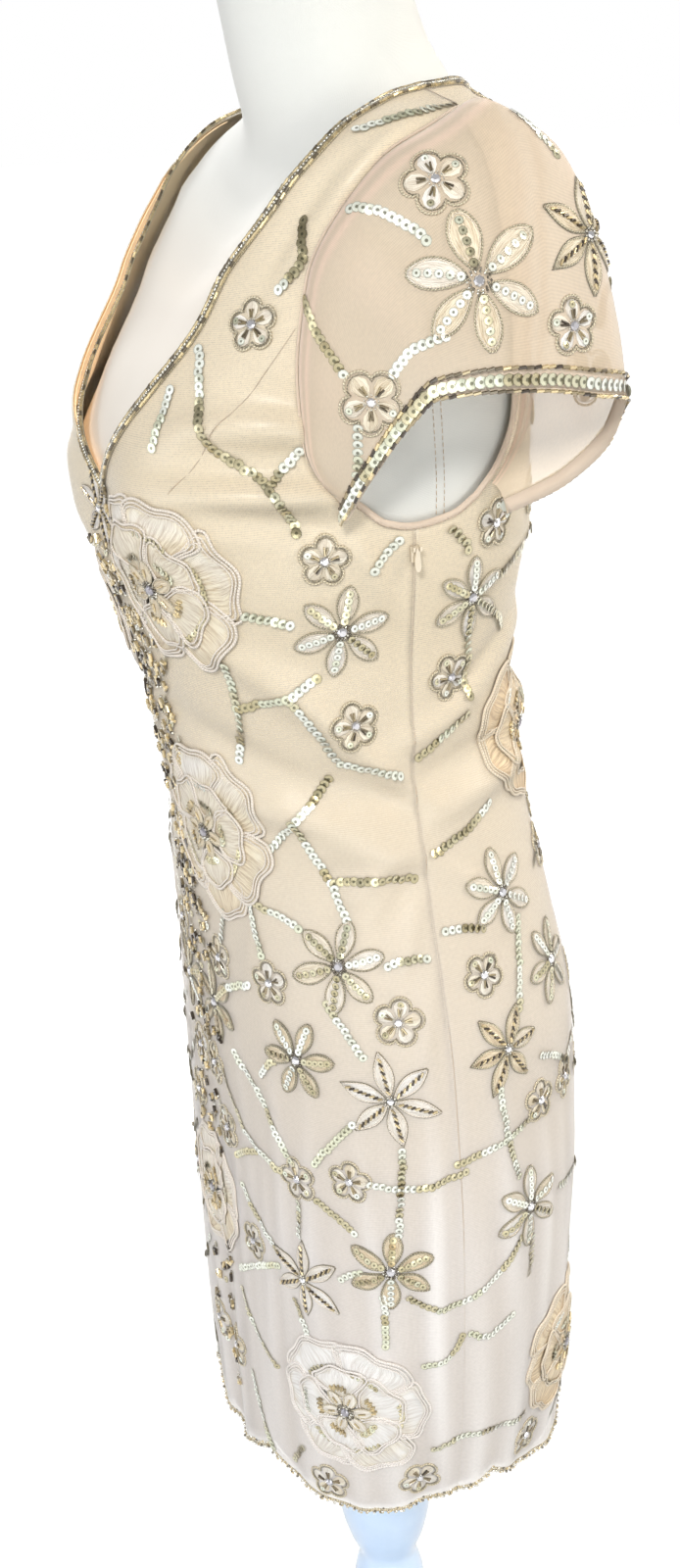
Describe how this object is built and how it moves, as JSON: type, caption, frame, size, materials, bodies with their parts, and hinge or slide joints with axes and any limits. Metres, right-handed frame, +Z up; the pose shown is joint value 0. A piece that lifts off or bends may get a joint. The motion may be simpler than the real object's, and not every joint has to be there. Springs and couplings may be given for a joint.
{
  "type": "cocktail dress on dress form",
  "caption": "Fitted knee-length cocktail dress with V neck, sheer petal sleeves and beaded flowers, on a white limbless dress form with a turned stand.",
  "frame": {"origin": "on the floor, under the axis of the stand's pole, at the middle of the base's flat underside", "axes": "+Z up; the dress's front faces -Y; the wearer's left side, where the zip is, faces +X"},
  "size_m": [0.439, 0.34, 1.5083],
  "materials": {
    "satin": "champagne nude satin under fine nude mesh, soft sheen",
    "mesh": "single layer of sheer nude mesh",
    "beads": "bronze bugle beads and pale gold sequins, glossy",
    "binding": "nude woven binding and zip tape",
    "embroidery": "peach and cream satin-stitch embroidery with cord outlines",
    "zip_metal": "nude lacquer",
    "jersey": "white knitted jersey cover",
    "lacquer": "cool white lacquer, half gloss"
  },
  "bodies": {
    "dress_and_form": {"front_panel": "satin", "back_panel": "satin", "neck_facing": "satin", "sleeve_left": "mesh", "sleeve_right": "mesh", "sleeve_bead_band_left": "beads", "sleeve_bead_band_right": "beads", "neck_bead_band": "beads", "hem_bead_band": "beads", "armhole_binding_left": "binding", "armhole_binding_right": "binding", "zip_tape": "binding", "rose_bust_left": "embroidery", "rose_waist_front": "embroidery", "rose_thigh_front": "embroidery", "rose_hem_left": "embroidery", "rose_hem_back_left": "embroidery", "rose_waist_back_left": "embroidery", "rose_bust_right": "embroidery", "rose_hem_right": "embroidery", "rose_hem_back_right": "embroidery", "rose_waist_right": "embroidery", "rose_back_upper": "embroidery", "zip_slider": "zip_metal", "form_torso": "jersey", "form_neck_cap": "lacquer", "stand_pole": "lacquer", "stand_column": "lacquer", "stand_base": "lacquer"},
    "zip_tab": {"zip_pull": "zip_metal"}
  },
  "joints": [
    {"name": "zip_tab_hinge", "type": "hinge", "parent": "dress_and_form", "child": "zip_tab", "pos_m": [0.15297, 0, 1.137], "axis": [0, -1, 0], "range_deg": [0, 150]}
  ]
}
